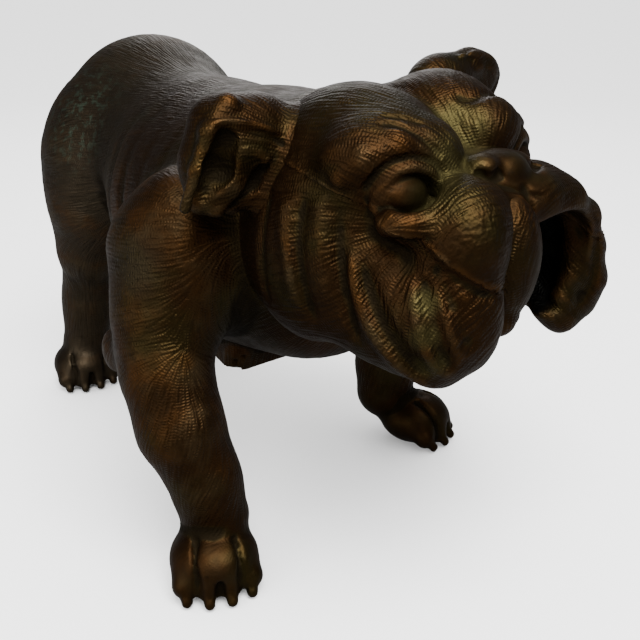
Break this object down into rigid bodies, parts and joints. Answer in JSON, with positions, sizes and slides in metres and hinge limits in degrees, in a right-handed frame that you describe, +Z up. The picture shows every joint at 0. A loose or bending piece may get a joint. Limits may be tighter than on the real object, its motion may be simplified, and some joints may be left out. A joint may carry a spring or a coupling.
{
  "type": "figural animal coin bank",
  "caption": "Hollow-cast bronze bulldog coin bank: coins go in at the open mouth, past a flap, and come out of a latched belly door.",
  "frame": {"origin": "on the ground, under the middle of the whole figure", "axes": "+Z up, the dog faces -Y, its right side is -X"},
  "size_m": [0.1371, 0.2417, 0.1459],
  "materials": {
    "bronze_casting": "dark brown bronze patina, rubbed to orange on high spots, olive in hollows",
    "bronze_door": "brown bronze, scuffed",
    "brass_fitting": "dull, tarnished",
    "steel_fastener": "dark, lightly rusted"
  },
  "bodies": {
    "casting": {"torso_casting": "bronze_casting", "front_right_leg": "bronze_casting", "front_left_leg": "bronze_casting", "hind_right_leg": "bronze_casting", "hind_left_leg": "bronze_casting", "tail": "bronze_casting", "upper_head_casting": "bronze_casting", "jowl_casting": "bronze_casting", "chin_casting": "bronze_casting", "right_ear": "bronze_casting", "left_ear": "bronze_casting", "head_dowels": "brass_fitting", "throat_plate": "brass_fitting", "throat_screws": "steel_fastener", "flap_pin": "steel_fastener", "hinge_pin": "steel_fastener"},
    "flap": {"coin_flap": "brass_fitting"},
    "door": {"trap_door": "bronze_door"},
    "latch": {"latch_stem": "brass_fitting", "latch_washer": "steel_fastener", "latch_spacer": "brass_fitting", "latch_bar": "brass_fitting", "latch_nut": "steel_fastener"}
  },
  "joints": [
    {"name": "flap_swing", "type": "hinge", "parent": "casting", "child": "flap", "pos_m": [0.001, -0.055, 0.111], "axis": [1, 0, 0], "range_deg": [0, 65]},
    {"name": "door_swing", "type": "hinge", "parent": "casting", "child": "door", "pos_m": [0.003, 0.03935, 0.06191], "axis": [1, 0, 0], "range_deg": [0, 100]},
    {"name": "latch_turn", "type": "hinge", "parent": "door", "child": "latch", "pos_m": [0.003, 0.00073, 0.04936], "axis": [0, 0.309, -0.9511], "range_deg": [0, 90]}
  ]
}
